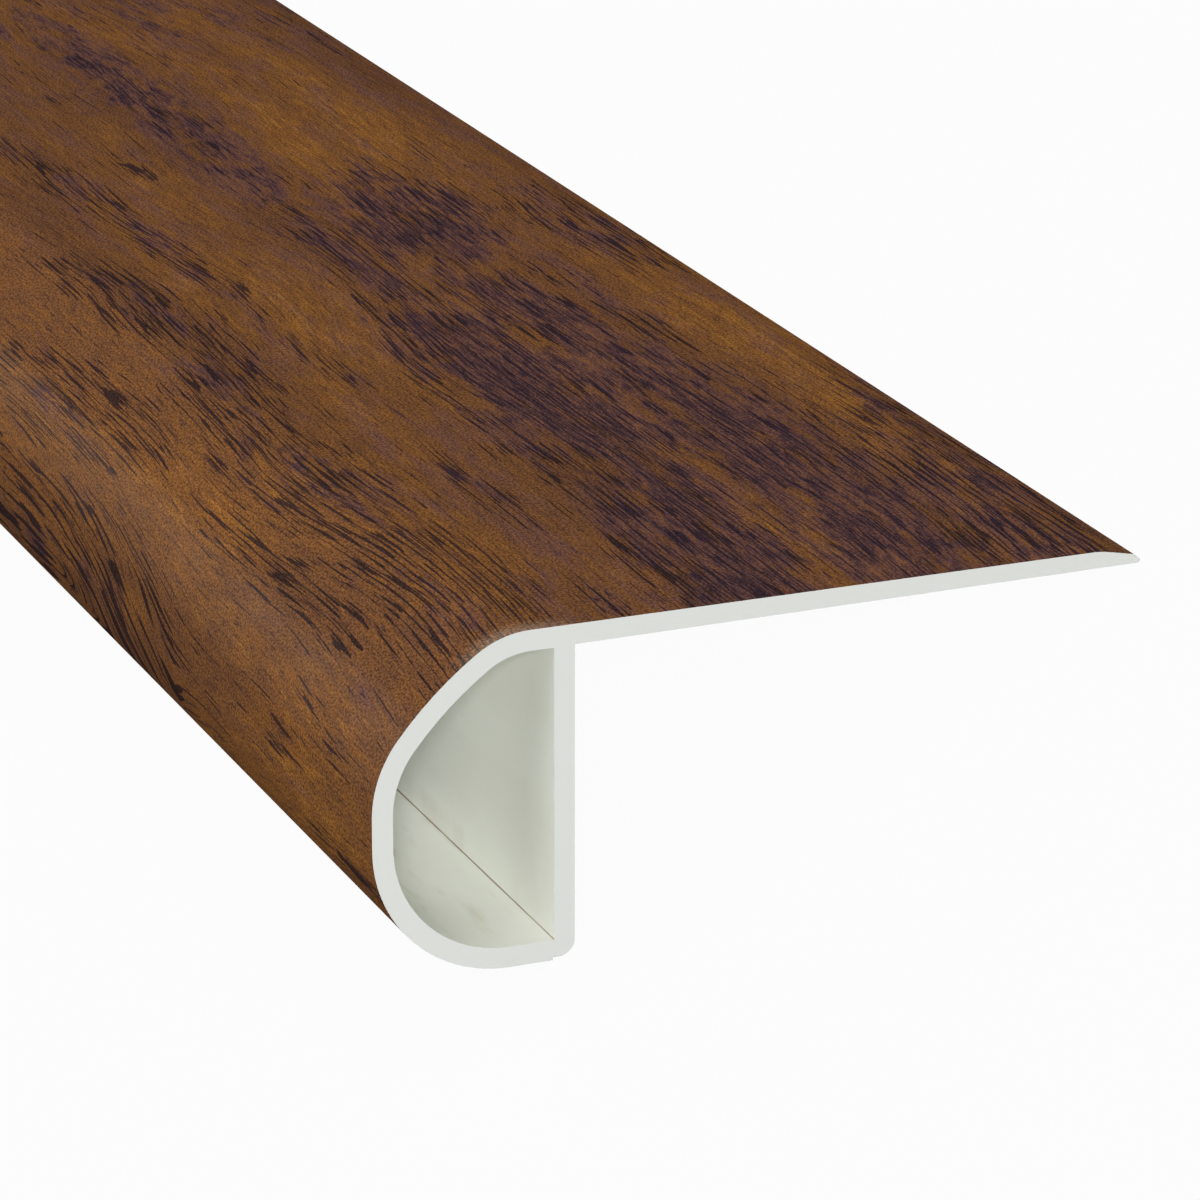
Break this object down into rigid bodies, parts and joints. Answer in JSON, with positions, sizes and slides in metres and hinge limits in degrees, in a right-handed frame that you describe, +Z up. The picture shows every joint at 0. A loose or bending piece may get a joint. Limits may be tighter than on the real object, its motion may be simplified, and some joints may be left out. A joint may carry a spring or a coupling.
{
  "type": "low profile stair nosing",
  "caption": "Hollow bullnose stair edge trim: a long rigid vinyl extrusion with a thin rear flange, wrapped in a dark wood-grain film on its visible side.",
  "frame": {"origin": "on the floor, under the middle of the stock's length and width as it lies at rest", "axes": "+X along the length, -Y towards the nose, +Y towards the tip of the flange, +Z up from the floor; the flange slopes down towards +Y by the rest tilt"},
  "size_m": [0.9144, 0.0579, 0.023],
  "materials": {
    "white_vinyl": "matte extruded rigid vinyl, sawn at the ends",
    "woodgrain_print": "satin dark brown wood-grain print"
  },
  "bodies": {
    "root": {"vinyl_extrusion": "white_vinyl", "woodgrain_film": "woodgrain_print"}
  },
  "joints": []
}
